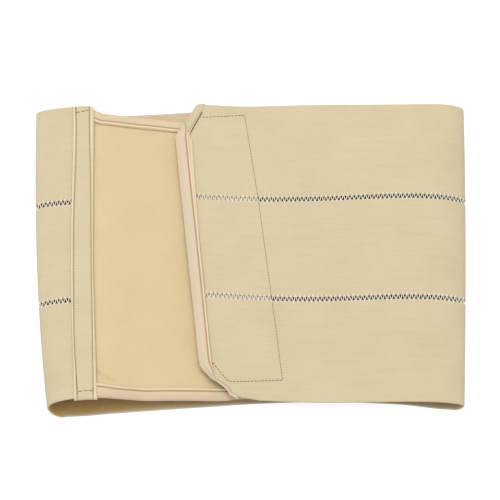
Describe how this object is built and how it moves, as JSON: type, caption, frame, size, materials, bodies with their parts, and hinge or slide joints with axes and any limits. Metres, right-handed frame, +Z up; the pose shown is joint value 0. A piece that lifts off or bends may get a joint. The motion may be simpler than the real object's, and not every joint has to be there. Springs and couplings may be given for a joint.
{
  "type": "abdominal binder",
  "caption": "Beige elastic abdominal binder: panels joined by openwork seams, closed into a flattened loop by a hook tape on a padded pile panel.",
  "frame": {"origin": "middle of the box at the height of the table on which the flattened loop lies", "axes": "+X along the band, to the right in the picture, +Y across the band to its upper edge, +Z up"},
  "size_m": [0.309, 0.2406, 0.0256],
  "materials": {
    "web": "matte ribbed woven elastic, beige",
    "thread": "matte pale cream openwork threads",
    "pile": "soft brushed loop pile, warm beige",
    "tape": "matte woven binding tape, pinkish beige",
    "hook": "dull hook tape, cream"
  },
  "bodies": {
    "root": {"web_upper": "web", "web_middle": "web", "web_lower": "web", "openwork_upper": "thread", "openwork_lower": "thread", "joining_strip": "tape", "loop_panel": "pile", "panel_binding": "tape", "hook_patch": "hook", "end_binding": "tape"}
  },
  "joints": []
}
